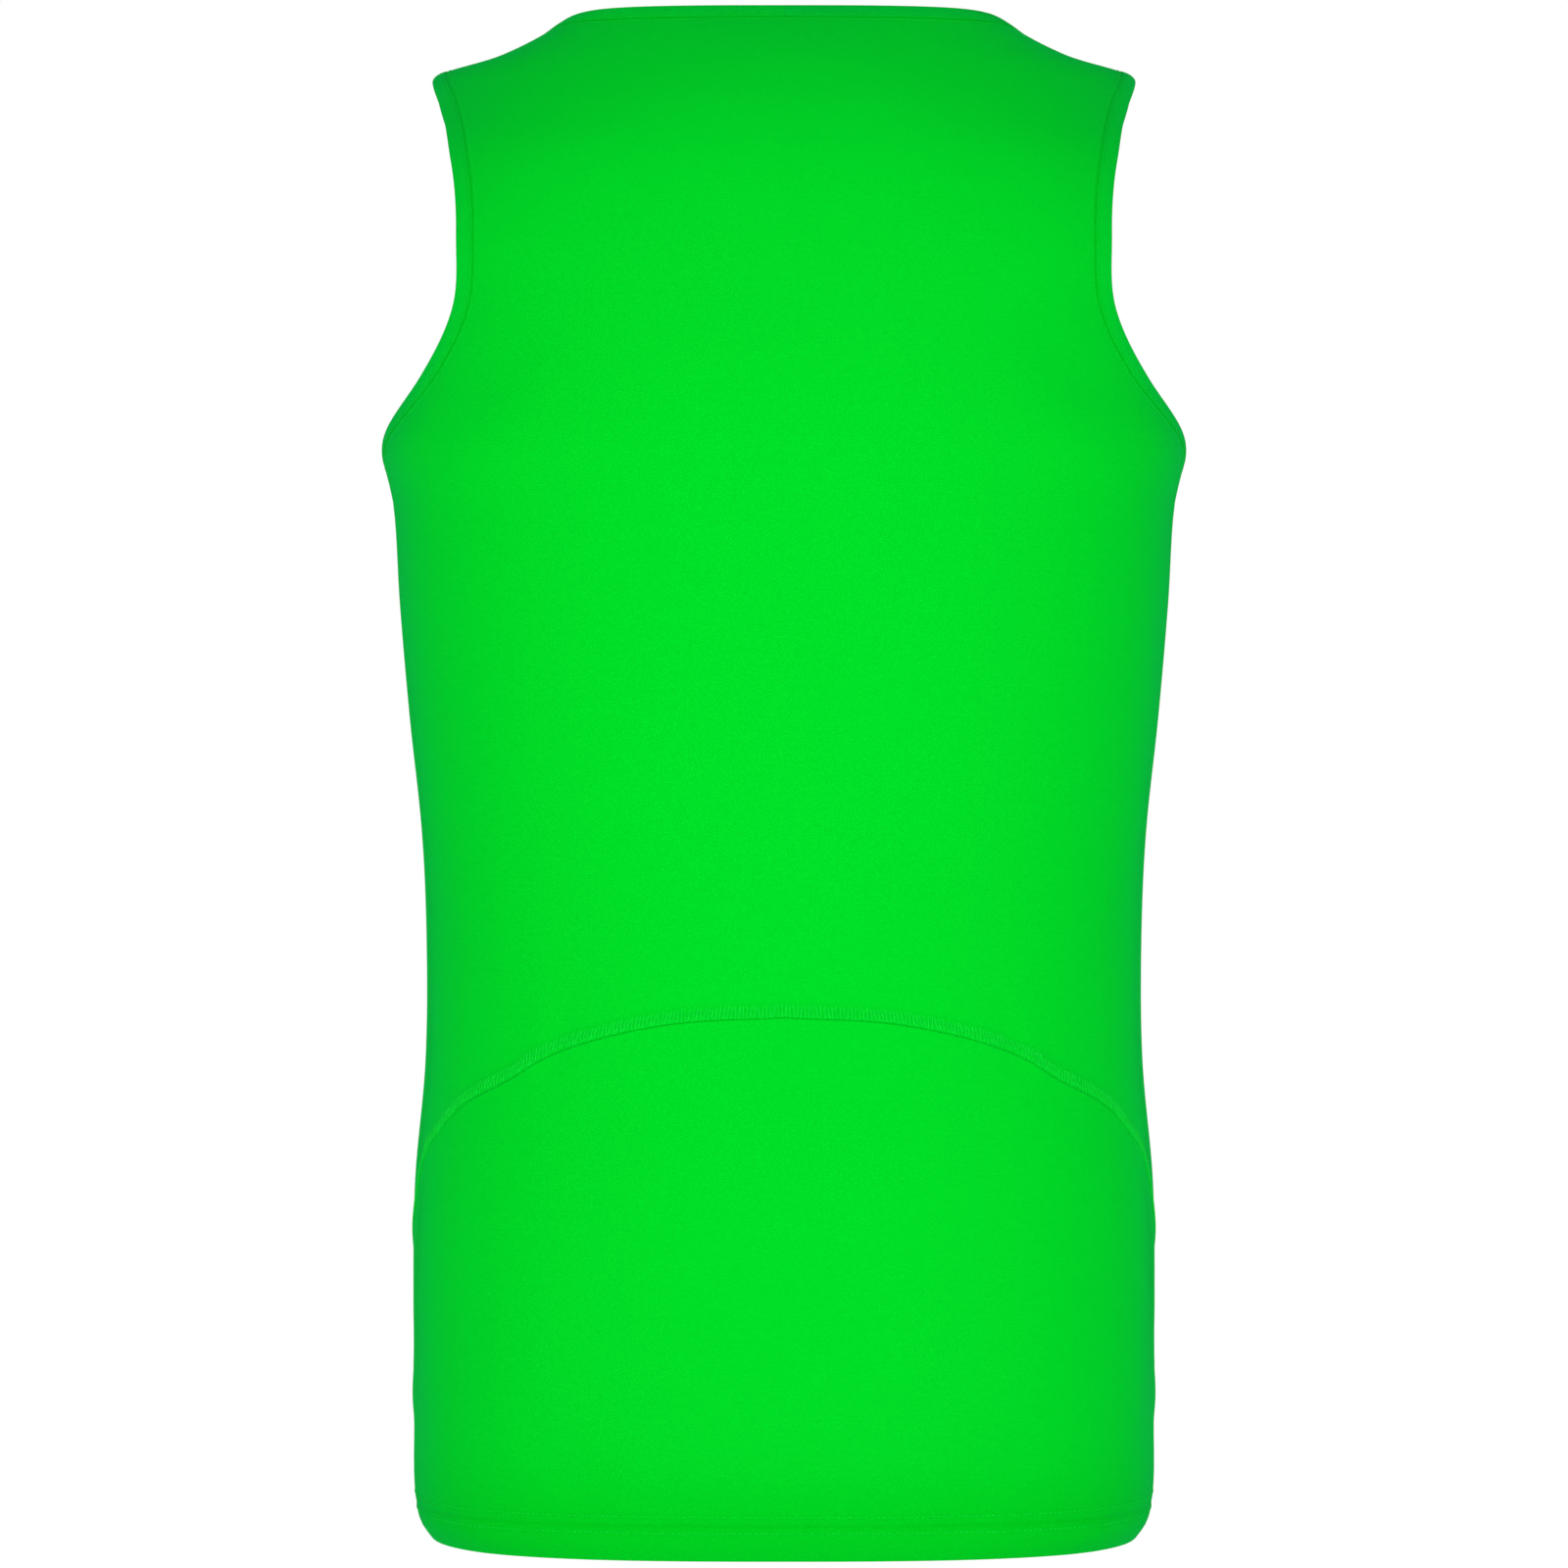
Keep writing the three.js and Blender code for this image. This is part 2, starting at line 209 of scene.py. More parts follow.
# Places in the cloth at distances from an edge, square to it. The edge is a closed curve of places
# and holeMiddle a point in the hole that it runs round.
def stepFromEdge(edge, share, distance, holeMiddle):
    angle, travel = edge(share)
    around, up = clothDirections(angle, travel)
    here = formPoint(angle, travel)
    step = form["shareStep"]
    along = unit(formPoint(*edge(share + step)) - formPoint(*edge(share - step)))
    into = unit(np.cross(outOfCloth(angle, travel), along))
    away = np.sum(into * (here - holeMiddle), -1, keepdims=True)
    into = np.where(away < 0, -into, into)
    aroundAround = np.sum(around * around, -1)
    aroundUp = np.sum(around * up, -1)
    upUp = np.sum(up * up, -1)
    intoAround = np.sum(into * around, -1)
    intoUp = np.sum(into * up, -1)
    spread = aroundAround * upUp - aroundUp ** 2
    turn = (intoAround * upUp - intoUp * aroundUp) / spread
    climb = (intoUp * aroundAround - intoAround * aroundUp) / spread
    return angle + turn * distance, travel + climb * distance


# The armhole's edge on the wearer's left: share 0 is the underarm, 0.5 the shoulder tip, and the
# first half runs up the back.
def armholeEdge(share):
    share = np.asarray(share, float)
    sway = np.sin(2 * math.pi * share)
    climbed = (1 - np.cos(2 * math.pi * share)) / 2
    cut, lowPinch, highPinch = (
        np.where(sway >= 0, armholeCut["back"][name], armholeCut["front"][name])
        for name in ("angle", "lowPinch", "highPinch"))
    inset = np.radians(cut) * np.abs(sway) ** lerp(lowPinch, highPinch, climbed)
    travel = lerp(form["underarmTravel"], form["tipTravel"], climbed)
    return quarterTurn - np.sign(sway) * inset, travel


def neckEdge(share):
    angle = 2 * math.pi * np.asarray(share, float)
    return angle, np.full_like(angle, form["neckTravel"])


armholeMiddle = (
    formPoint(quarterTurn, form["underarmTravel"]) + formPoint(quarterTurn, form["tipTravel"])
) / 2
neckMiddle = np.array([0, 0, ringAt(np.array(form["neckTravel"], float))["height"]])


def inArmholeCloth(share, distance):
    return stepFromEdge(armholeEdge, share, distance, armholeMiddle)


def inNeckCloth(share, distance):
    return stepFromEdge(neckEdge, share, distance, neckMiddle)


def archHeight(angle):
    return readArch(np.degrees(np.abs(angle)))[..., 0]


# Soft creases, a row each, as paths on the form from one place to another. Angles are in degrees,
# bow bends the path sideways, and a depth over 0 is a ridge and under 0 a trough. The mirrored rows
# are the wearer's left, and the wearer's right has them a little narrower and deeper.
# Columns: from angle, from travel, to angle, to travel, bow, width, depth.
creases = {
    "pathSteps": 20,
    "reach": 2.6,  # widths from the path to where a crease has died away
    "endShare": 0.08,  # how far into its taper a crease starts and ends
    "taperPower": 1.3,
    "rightWidth": 0.94,
    "rightDepth": 1.06,
    "mirrored": [
        [24, 560, 5, 300, -3, 26, 1.5],  # shoulder blade to the small of the back
        [15, 470, 9, 330, 1, 15, -0.7],
        [38, 610, 20, 470, 4, 34, 1.2],
        [62, 505, 44, 560, 2, 15, -1.1],  # drag from the underarm
        [70, 470, 50, 500, 3, 13, 0.7],
        [49, 262, 52, 214, 0, 6, -0.9],  # pucker where the arched seam bends
        [53.5, 240, 55, 206, 1, 5, 0.5],
        [42, 250, 44, 226, 0, 5, -0.3],
        [50, 40, 33, 52, 5, 24, -1.6],  # hollow above the hem
        [80, 110, 72, 40, 2, 11, -0.8],
        [84, 76, 88, 52, 0, 7, 0.8],
        [85, 96, 89, 82, 0, 6, -0.7],
        [86, 40, 89, 24, 0, 6, -0.6],
        [66, 24, 68, 1, 0, 9, -0.5],  # waves along the hem at the sides
        [74, 22, 75, 0, 0, 7, 0.4],
        [60, 18, 58, 2, 0, 8, 0.3],
        [78, 300, 64, 262, 3, 14, -0.9],  # waist
        [82, 330, 70, 345, 2, 12, 0.6],
    ],
    "back": [
        [0, 520, 0, 380, 0, 20, -1.3],  # hollow of the spine
        [-2, 700, 3, 640, 1, 26, -0.9],
        [-4, 226, 5, 222, 3, 12, -0.4],
    ],
    "front": [
        [118, 500, 146, 430, 6, 22, -1.6],
        [241, 494, 218, 420, -5, 20, -1.5],
        [112, 470, 128, 380, 4, 14, 0.9],
        [247, 462, 229, 376, -3, 16, 1],
        [150, 560, 172, 470, -4, 24, 1.2],
        [209, 556, 190, 462, 3, 22, 1.2],
        [104, 290, 128, 262, 3, 15, -1],
        [256, 286, 234, 256, -3, 14, -1.1],
        [134, 66, 152, 36, 4, 24, -1.5],
        [223, 70, 207, 38, -4, 22, -1.5],
        [164, 240, 176, 120, 3, 26, 0.9],
        [196, 214, 186, 96, -2, 24, 0.8],
        [176, 40, 186, 22, 2, 16, -0.7],
        [110, 26, 112, 1, 0, 9, -1],
        [250, 24, 247, 1, 0, 8, -1],
        [121, 20, 123, 2, 0, 8, 0.7],
    ],
}


def creasePaths():
    rows = creases["back"] + creases["front"]
    for row in creases["mirrored"]:
        start, low, end, high, bow, width, depth = row
        width = width * creases["rightWidth"]
        depth = depth * creases["rightDepth"]
        rows += [row, [-start, low, -end, high, -bow, width, depth]]
    paths = []
    along = np.linspace(0, 1, creases["pathSteps"] + 1)
    for start, low, end, high, bow, width, depth in rows:
        angles = np.radians(lerp(start, end, along) + bow * np.sin(math.pi * along))
        paths.append((formPoint(angles, lerp(low, high, along)), width, depth))
    return paths


# How far the creases lift or sink the cloth at points on the form.
def creaseDepth(points):
    flat = points.reshape(-1, 3)
    lift = np.zeros(len(flat))
    for path, width, depth in creasePaths():
        reach = creases["reach"] * width
        near = np.all((flat > path.min(0) - reach) & (flat < path.max(0) + reach), axis=1)
        near = np.flatnonzero(near)
        if not len(near):
            continue
        starts = path[:-1]
        steps = path[1:] - starts
        offset = flat[near, None] - starts[None]
        share = np.clip(np.sum(offset * steps, -1) / np.sum(steps * steps, -1), 0, 1)
        away = np.linalg.norm(offset - share[..., None] * steps, axis=-1)
        nearest = np.argmin(away, axis=1)
        row = np.arange(len(near))
        along = (nearest + share[row, nearest]) / len(starts)
        tapered = np.clip(along * (1 - 2 * creases["endShare"]) + creases["endShare"], 0, 1)
        taper = np.sin(math.pi * tapered) ** creases["taperPower"]
        lift[near] += depth * taper * np.exp(-(away[row, nearest] / width) ** 2)
    return lift.reshape(points.shape[:-1])


# Points in metres in the frame, a given way out of the cloth's outside, and the way out there.
def clothPoints(angle, travel, out):
    angle, travel = np.broadcast_arrays(np.asarray(angle, float), np.asarray(travel, float))
    points = formPoint(angle, travel)
    normal = outOfCloth(angle, travel)
    points = points + normal * (out + creaseDepth(points))[..., None]
    points[..., 2] -= form["carryHeight"]
    return points * mm, normal


cornerAngle = math.radians(60)  # past which a mesh's edge is sharp


# Each point carries painted shade: how deep it lies in a seam or under sewing, which darkens the cloth's
# colour.
def finishMesh(name, vertices, faces, uv, sewn, material):
    mesh = bpy.data.meshes.new(name + "_cloth")
    mesh.from_pydata(vertices.tolist(), [], faces.tolist())
    layer = mesh.uv_layers.new(name="UVMap")
    corners = np.empty(len(mesh.loops), np.int32)
    mesh.loops.foreach_get("vertex_index", corners)
    layer.data.foreach_set("uv", uv[corners].ravel())
    depth = mesh.attributes.new("sewn", "FLOAT", "POINT")
    depth.data.foreach_set("value", sewn.astype(np.float32))
    mesh.shade_smooth()
    mesh.set_sharp_from_angle(angle=cornerAngle)
    mesh.materials.append(material)
    piece = bpy.data.objects.new(name + "_cloth", mesh)
    bpy.context.scene.collection.objects.link(piece)
    return piece


# A wall of cloth between two grids of points. Rows run up, and columns so that outer faces outwards.
def clothWall(name, outer, inner, uv, sewn, material):
    rows, columns = outer.shape[:2]
    number = np.arange(rows * columns).reshape(rows, columns)
    hidden = number + rows * columns
    face = np.stack([number[:-1, :-1], number[:-1, 1:], number[1:, 1:], number[1:, :-1]], -1)
    back = np.stack([hidden[:-1, :-1], hidden[1:, :-1], hidden[1:, 1:], hidden[:-1, 1:]], -1)

    def rim(front, behind):
        return np.stack([front[:-1], behind[:-1], behind[1:], front[1:]], -1)

    rims = [
        rim(number[0], hidden[0]),
        rim(number[-1, ::-1], hidden[-1, ::-1]),
        rim(number[::-1, 0], hidden[::-1, 0]),
        rim(number[:, -1], hidden[:, -1]),
    ]
    faces = np.concatenate([face.reshape(-1, 4), back.reshape(-1, 4), *rims])
    vertices = np.concatenate([outer.reshape(-1, 3), inner.reshape(-1, 3)])
    return finishMesh(
        name, vertices, faces, np.tile(uv.reshape(-1, 2), (2, 1)), np.tile(sewn.ravel(), 2), material)


# A closed ring of sections, each a closed loop of points.
def ringOfSections(name, sections, uv, sewn, material, turned):
    around, across = sections.shape[:2]
    number = np.arange(around * across).reshape(around, across)
    ahead = np.roll(number, -1, 0)
    faces = np.stack([number, np.roll(number, -1, 1), np.roll(ahead, -1, 1), ahead], -1)
    faces = faces.reshape(-1, 4)
    if turned:
        faces = faces[:, ::-1]
    return finishMesh(name, sections.reshape(-1, 3), faces, uv.reshape(-1, 2), sewn.ravel(), material)


print("form ready")

# Shader groups and materials.


def addInput(group, name, kind, default=None):
    socket = group.interface.new_socket(name=name, in_out="INPUT", socket_type=kind)
    if default is not None:
        socket.default_value = default


def addOutput(group, name, kind):
    group.interface.new_socket(name=name, in_out="OUTPUT", socket_type=kind)


def setInputs(node, values):
    for name, value in values.items():
        node.inputs[name].default_value = value


def mathNode(group, operation, *values):
    node = group.nodes.new("ShaderNodeMath")
    node.operation = operation
    for index, value in enumerate(values):
        if isinstance(value, bpy.types.NodeSocket):
            group.links.new(value, node.inputs[index])
        else:
            node.inputs[index].default_value = value
    return node.outputs[0]


# Rows of small V stitches, wales along the second axis of the map: how high the thread stands, with
# some unevenness, and how deep the hollows between the loops are.
knitShape = {"slant": -1.3, "roundness": 0.6, "uneven": 0.2, "unevenScale": 420, "unevenDetail": 2}


def makeKnitFace():
    group = bpy.data.node_groups.new("knitFace", "ShaderNodeTree")
    link = group.links.new
    addInput(group, "Vector", "NodeSocketVector")
    addInput(group, "Wale", "NodeSocketFloat")
    addInput(group, "Course", "NodeSocketFloat")
    addInput(group, "Uneven", "NodeSocketFloat", knitShape["uneven"])
    addOutput(group, "Height", "NodeSocketFloat")
    addOutput(group, "Hollow", "NodeSocketFloat")
    start = group.nodes.new("NodeGroupInput")
    end = group.nodes.new("NodeGroupOutput")
    split = group.nodes.new("ShaderNodeSeparateXYZ")
    link(start.outputs["Vector"], split.inputs[0])
    across = mathNode(group, "DIVIDE", split.outputs[0], start.outputs["Wale"])
    up = mathNode(group, "DIVIDE", split.outputs[1], start.outputs["Course"])
    fromMiddle = mathNode(group, "SUBTRACT", mathNode(group, "FRACT", across), 0.5)
    leg = mathNode(group, "ABSOLUTE", fromMiddle)
    slanted = mathNode(group, "ADD", up, mathNode(group, "MULTIPLY", leg, knitShape["slant"]))
    wave = mathNode(group, "SINE", mathNode(group, "MULTIPLY", slanted, 2 * math.pi))
    loops = mathNode(group, "ADD", mathNode(group, "MULTIPLY", wave, 0.5), 0.5)
    ribShape = mathNode(group, "SINE", mathNode(group, "MULTIPLY", leg, 2 * math.pi))
    height = mathNode(group, "MULTIPLY", loops, mathNode(group, "POWER", ribShape, knitShape["roundness"]))
    noise = group.nodes.new("ShaderNodeTexNoise")
    setInputs(noise, {"Scale": knitShape["unevenScale"], "Detail": knitShape["unevenDetail"]})
    link(start.outputs["Vector"], noise.inputs["Vector"])
    drift = mathNode(group, "MULTIPLY", noise.outputs[0], start.outputs["Uneven"])
    link(mathNode(group, "ADD", height, drift), end.inputs["Height"])
    link(mathNode(group, "SUBTRACT", 1.0, height), end.inputs["Hollow"])
    return group


# Slow drift of the dye and a fine mottle, as a mask round 0.5.
dyeShape = {"broadScale": 9.0, "shares": {"Broad": 0.3, "Fine": 0.7}, "detail": 3}


def makeDyeDrift():
    group = bpy.data.node_groups.new("dyeDrift", "ShaderNodeTree")
    link = group.links.new
    addInput(group, "Vector", "NodeSocketVector")
    addInput(group, "Broad", "NodeSocketFloat", dyeShape["broadScale"])
    addInput(group, "Fine", "NodeSocketFloat")
    addOutput(group, "Mask", "NodeSocketFloat")
    start = group.nodes.new("NodeGroupInput")
    end = group.nodes.new("NodeGroupOutput")
    masks = []
    for name, share in dyeShape["shares"].items():
        noise = group.nodes.new("ShaderNodeTexNoise")
        setInputs(noise, {"Detail": dyeShape["detail"]})
        link(start.outputs["Vector"], noise.inputs["Vector"])
        link(start.outputs[name], noise.inputs["Scale"])
        masks.append(mathNode(group, "MULTIPLY", noise.outputs[0], share))
    link(mathNode(group, "ADD", *masks), end.inputs["Mask"])
    return group


knitFace = makeKnitFace()
dyeDrift = makeDyeDrift()

# Each fabric's last colour is the painted shade in seams and under sewing.
fabrics = {
    "bodyKnit": {
        "light": (0.0006, 0.79, 0.024, 1),
        "deep": (0.0004, 0.71, 0.018, 1),
        "sewn": (0.0001, 0.58, 0.006, 1),
        "mottle": 700,
        "wale": 0.9 * mm,
        "course": 0.75 * mm,
        "bump": 0.05 * mm,
        "roughness": 0.82,
        "sheen": 0.34,
    },
    "bindingKnit": {
        "light": (0.0008, 0.80, 0.030, 1),
        "deep": (0.0005, 0.71, 0.022, 1),
        "sewn": (0.0001, 0.54, 0.005, 1),
        "mottle": 700,
        "wale": 0.8 * mm,
        "course": 0.7 * mm,
        "bump": 0.06 * mm,
        "roughness": 0.84,
        "sheen": 0.36,
    },
    "sewingThread": {
        "light": (0.012, 0.97, 0.08, 1),
        "deep": (0.002, 0.72, 0.026, 1),
        "sewn": (0.0002, 0.6, 0.01, 1),
        "mottle": 260,
        "wale": 0.25 * mm,
        "course": 0.35 * mm,
        "bump": 0.03 * mm,
        "roughness": 0.55,
        "sheen": 0.25,
    },
}
fibre = {
    "gloss": 0.02,
    "glossTint": (0, 1, 0.5, 1),
    "sheenRoughness": 0.45,
    "sheenTint": (0, 0.9, 0.4, 1),
    "hollowShade": 0.22,  # painted shade in the hollows between the loops
}


def makeFabric(name):
    look = fabrics[name]
    material = bpy.data.materials.new(name)
    material.use_nodes = True
    tree = material.node_tree
    link = tree.links.new
    shader = tree.nodes["Principled BSDF"]
    setInputs(shader, {
        "Roughness": look["roughness"],
        "Specular IOR Level": fibre["gloss"],
        "Specular Tint": fibre["glossTint"],
        "Sheen Weight": look["sheen"],
        "Sheen Roughness": fibre["sheenRoughness"],
        "Sheen Tint": fibre["sheenTint"],
    })
    places = tree.nodes.new("ShaderNodeTexCoord")
    drift = tree.nodes.new("ShaderNodeGroup")
    drift.node_tree = dyeDrift
    setInputs(drift, {"Fine": look["mottle"]})
    link(places.outputs["Object"], drift.inputs["Vector"])
    knit = tree.nodes.new("ShaderNodeGroup")
    knit.node_tree = knitFace
    setInputs(knit, {"Wale": look["wale"], "Course": look["course"]})
    link(places.outputs["UV"], knit.inputs["Vector"])
    # The dye drifts a little, and the hollows between the loops get painted shade.
    shade = mathNode(
        tree, "MULTIPLY_ADD", knit.outputs["Hollow"], fibre["hollowShade"], drift.outputs["Mask"])
    colour = tree.nodes.new("ShaderNodeMix")
    colour.data_type = "RGBA"  # whose colours are inputs 6 and 7 and output 2
    colour.inputs[6].default_value = look["light"]
    colour.inputs[7].default_value = look["deep"]
    link(shade, colour.inputs[0])
    # Painted shade: cloth in a seam or under sewing is coloured darker.
    sewn = tree.nodes.new("ShaderNodeAttribute")
    sewn.attribute_name = "sewn"
    seamShadeMix = tree.nodes.new("ShaderNodeMix")
    seamShadeMix.data_type = "RGBA"
    seamShadeMix.inputs[7].default_value = look["sewn"]
    link(sewn.outputs["Fac"], seamShadeMix.inputs[0])
    link(colour.outputs[2], seamShadeMix.inputs[6])
    link(seamShadeMix.outputs[2], shader.inputs["Base Color"])
    bump = tree.nodes.new("ShaderNodeBump")
    setInputs(bump, {"Strength": 1, "Distance": look["bump"]})
    link(knit.outputs["Height"], bump.inputs["Height"])
    link(bump.outputs["Normal"], shader.inputs["Normal"])
    return material


bodyKnit = makeFabric("bodyKnit")
bindingKnit = makeFabric("bindingKnit")
sewingThread = makeFabric("sewingThread")
print("fabrics ready")

# The panels: their cloth, edges and grid.
panels = {
    "wall": 1.0,
    "hemWall": 1.8,
    "hemTurnedTo": 21.6,  # height of the turned-up edge inside the hem
    "seamClearance": 0.005,
    "leastEdge": 0.04,  # keeps a rounded edge from closing to nothing
    "seamMatch": 1e-6,  # how near to a quarter turn a row's end counts as in a seam
    "tuck": 0.5,  # how far a panel runs in under a tape
    "columns": 116,
    "edgeSteps": [0, 0.12, 0.3, 0.5, 0.8, 1.2, 1.6, 2, 2.5, 3.3, 4.8],
    "halfSpan": 238,  # about half a panel's width round the form
    "sideCrowding": 0.12,
    "armholeRows": 70,
    "armholeCrowding": 0.6,
    "shoulderRows": 10,
    "shoulderRun": 40,  # about the width of a shoulder strap between the tapes
    "upperRows": 44,
    "lowerRows": 46,
    "frontRows": 84,
    "underarmDip": 55,
}
farOff = 99.0  # a distance from an edge past which it does nothing

# The tapes: width, steps round, and how far in the rows of stitches on the tape and beside it are.
armholeTape = {"width": 9.2, "steps": 300, "onTape": 7.7, "onCloth": 10.6}
neckTape = {"width": 9, "steps": 340, "onTape": 7.5, "onCloth": 10.2}

hemLook = {
    "rows": [0, 0.12, 0.4, 0.8, 1.4, 2.4, 4, 6.5, 9, 11, 12.2, 12.8, 13.2, 13.6, 14.2, 14.8, 15.2,
             15.6, 15.9, 16.2, 16.6, 17.2, 18, 19, 19.6, 20, 20.3, 20.6, 21, 21.5, 21.7, 22.4, 24],
    "stitchTravels": [13.2, 20.3],
    "stitchSink": 0.05,
    "stitchSpread": 0.6,
    "creaseTravel": 15.9,  # the soft line between the two rows of stitches
    "creaseSink": 0.24,
    "creaseSpread": 0.9,
    "reliefTo": 26,
    "pathSteps": 480,
    "threadOut": -0.01,
}

archLook = {
    "bandWidth": 6.2,  # covered by the flat seam's threads
    "bandEdge": 0.8,  # how far inside the band's width it begins to fade
    "bandFade": 2.4,
    "bandRise": 0.3,
    "lipAt": 0.8,  # the low ridge below the seam
    "lipWidth": 1.6,
    "lipRise": 0.14,
    # rows at these distances from the seam
    "distances": [0.02, 0.14, 0.3, 0.5, 0.8, 1.3, 2, 3, 4.2, 5.2, 5.8, 6.4, 7, 7.6, 8.6],
}

# Painted shade in the cloth's colour at open edges, by a tape, at the hem and in the flat seam's band.
seamShade = {
    "open": 0.6,
    "openSpread": 0.5,
    "tape": [(0, 1), (1.4, 0.4)],  # distances out from a tape, and how deep the painted shadow is there
    "tapeSpread": 0.5,
    "hemCrease": 0.26,
    "hemStitch": 0.12,
    "hemSpread": 1.3,
    "paintedHemShade": 0.42,  # painted shade over the hem, fading out above turnedTo
    "turnedTo": 14,
    "turnedFade": 24,
    "band": 0.28,
}


def columnShares():
    edge = 1 - np.array(panels["edgeSteps"]) / panels["halfSpan"]
    inner = np.linspace(edge[-1], -edge[-1], panels["columns"] + 1)[1:-1]
    crowd = panels["sideCrowding"]
    inner = inner * (1 + crowd * (1 - (inner / edge[-1]) ** 2))
    return np.concatenate([edge, inner, -edge[::-1]])


shares = columnShares()


def seamAngle(travel):
    return panels["seamClearance"] / 2 / ringAt(travel)["halfWidth"]


def levelRow(middle, travel):
    travel = np.full(len(shares), float(travel))
    return np.stack([middle + shares * (quarterTurn - seamAngle(travel)), travel], -1)


def rowsBetween(fromRow, toRow, steps):
    return [lerp(fromRow, toRow, step) for step in steps]


def evenSteps(count):
    return np.linspace(0, 1, count + 1)[1:]


# The rows from the underarm to the shoulder tip, each ending just under the armhole's tape.
def armholeZone(middle):
    even = np.linspace(0, 1, panels["armholeRows"] + 1)
    eased = (1 - np.cos(math.pi * even)) / 2
    share = lerp(even, eased, panels["armholeCrowding"]) / 2
    onBack = middle == 0
    endAngle, endTravel = inArmholeCloth(
        share if onBack else 1 - share, armholeTape["width"] - panels["tuck"])
    middles = lerp(endTravel[0] - panels["underarmDip"], endTravel[-1], even)
    rows = []
    for angle, travel, level in zip(endAngle, endTravel, middles):
        fromMiddle = angle if onBack else math.pi - angle
        halfSpan = min(fromMiddle, quarterTurn - float(seamAngle(travel)))
        rows.append(np.stack([middle + shares * halfSpan, lerp(level, travel, shares ** 2)], -1))
    return rows


def neckRow(middle):
    row = levelRow(middle, form["neckTravel"])
    angle, travel = inNeckCloth(row[:, 0] / 2 / math.pi, neckTape["width"] - panels["tuck"])
    angle[0], angle[-1] = row[0, 0], row[-1, 0]
    return np.stack([angle, travel], -1)


# A row along the arched seam, a distance above it or, under 0, below it, square to the seam.
def archRow(distance):
    angle = shares * (quarterTurn - seamAngle(archHeight(np.array(quarterTurn))))
    turned = np.abs(angle)
    level = archHeight(turned)
    ahead = turned - form["archStep"]
    run = np.linalg.norm(formPoint(turned, level) - formPoint(ahead, level), axis=-1)
    slope = (archHeight(ahead) - level) / run
    return np.stack([angle, level + distance * np.hypot(1, slope)], -1)


def bell(distance, spread):
    return np.exp(-(distance / spread) ** 2)


# Small relief in the outer face that goes all the way along a hem.
def hemRelief(travel):
    relief = -hemLook["creaseSink"] * bell(travel - hemLook["creaseTravel"], hemLook["creaseSpread"])
    for level in hemLook["stitchTravels"]:
        relief = relief - hemLook["stitchSink"] * bell(travel - level, hemLook["stitchSpread"])
    return relief


# How far a rounded edge has fallen back at a distance from the edge.
def rolled(distance, radius):
    left = np.clip(radius - distance, 0, radius)
    return radius - np.sqrt(radius ** 2 - left ** 2)


def runLengths(points, axis):
    steps = np.linalg.norm(np.diff(points, axis=axis), axis=-1)
    start = np.zeros_like(steps.take([0], axis=axis))
    return np.concatenate([start, np.cumsum(steps, axis=axis)], axis=axis)


# A panel from its rows of places. relief is added to its outer face, and painted shade darkens its
# colour in seams and under sewing. Its edges are rounded, apart from those that run in under a tape.
def panel(name, rows, relief, sewn):
    places = np.array(rows)
    angle, travel = places[..., 0], places[..., 1]
    points = formPoint(angle, travel)
    acrossRun = runLengths(points, 1)
    upRun = runLengths(points, 0)
    wall = np.where(travel < panels["hemTurnedTo"], panels["hemWall"], panels["wall"])
    sideEdge = np.minimum(acrossRun, acrossRun[:, -1:] - acrossRun)
    atTape = underTape(angle)
    tapeEdge = np.where(atTape, sideEdge, farOff)
    openEdge = np.minimum(np.where(atTape, farOff, sideEdge), upRun)
    topEdge = upRun[-1:] - upRun
    if name == "back_lower":
        openEdge = np.minimum(openEdge, topEdge)
    else:
        tapeEdge = np.minimum(tapeEdge, topEdge)
    fall = rolled(np.maximum(openEdge, panels["leastEdge"]), wall / 2)
    outer, _ = clothPoints(angle, travel, relief - fall)
    inner, _ = clothPoints(angle, travel, -wall + fall)
    middle = np.argmin(np.abs(shares))
    across = (acrossRun - acrossRun[:, middle:middle + 1]) * mm
    uv = np.stack([across, travel * mm], -1)
    # Painted shade in the grooves at open edges, and a painted shadow along each tape's edge.
    sewn = np.maximum(sewn, seamShade["open"] * bell(openEdge, seamShade["openSpread"]))
    for distance, depth in seamShade["tape"]:
        sewn = np.maximum(sewn, depth * bell(tapeEdge - distance - panels["tuck"], seamShade["tapeSpread"]))
    return clothWall(name, outer, inner, uv, sewn, bodyKnit)


# Rows whose ends lie at an armhole's tape rather than at a side or shoulder seam.
def underTape(angle):
    return np.abs(np.abs(np.sin(angle[:, :1])) - 1) > panels["seamMatch"]


def bodyRelief(travel):
    return np.where(travel < hemLook["reliefTo"], hemRelief(travel), 0)


# Painted shade along the hem's crease and rows of stitches, and over the hem, fading out upward.
def bodyShade(travel):
    shade = seamShade["hemCrease"] * bell(travel - hemLook["creaseTravel"], seamShade["hemSpread"])
    for level in hemLook["stitchTravels"]:
        shade = np.maximum(shade, seamShade["hemStitch"] * bell(travel - level, seamShade["hemSpread"]))
    aboveTurned = np.maximum(travel - seamShade["turnedTo"], 0)
    return shade + seamShade["paintedHemShade"] * bell(aboveTurned, seamShade["turnedFade"])


def makeBackLower():
    hem = [levelRow(0, travel) for travel in hemLook["rows"]]
    top = [archRow(-distance) for distance in archLook["distances"][::-1]]
    rows = hem + rowsBetween(hem[-1], top[0], evenSteps(panels["lowerRows"])[:-1]) + top
    places = np.array(rows)
    toSeam = np.maximum(archHeight(places[..., 0]) - places[..., 1], 0)
    lip = archLook["lipRise"] * bell(toSeam - archLook["lipAt"], archLook["lipWidth"])
    travel = places[..., 1]
    return panel("back_lower", rows, bodyRelief(travel) + lip, bodyShade(travel))


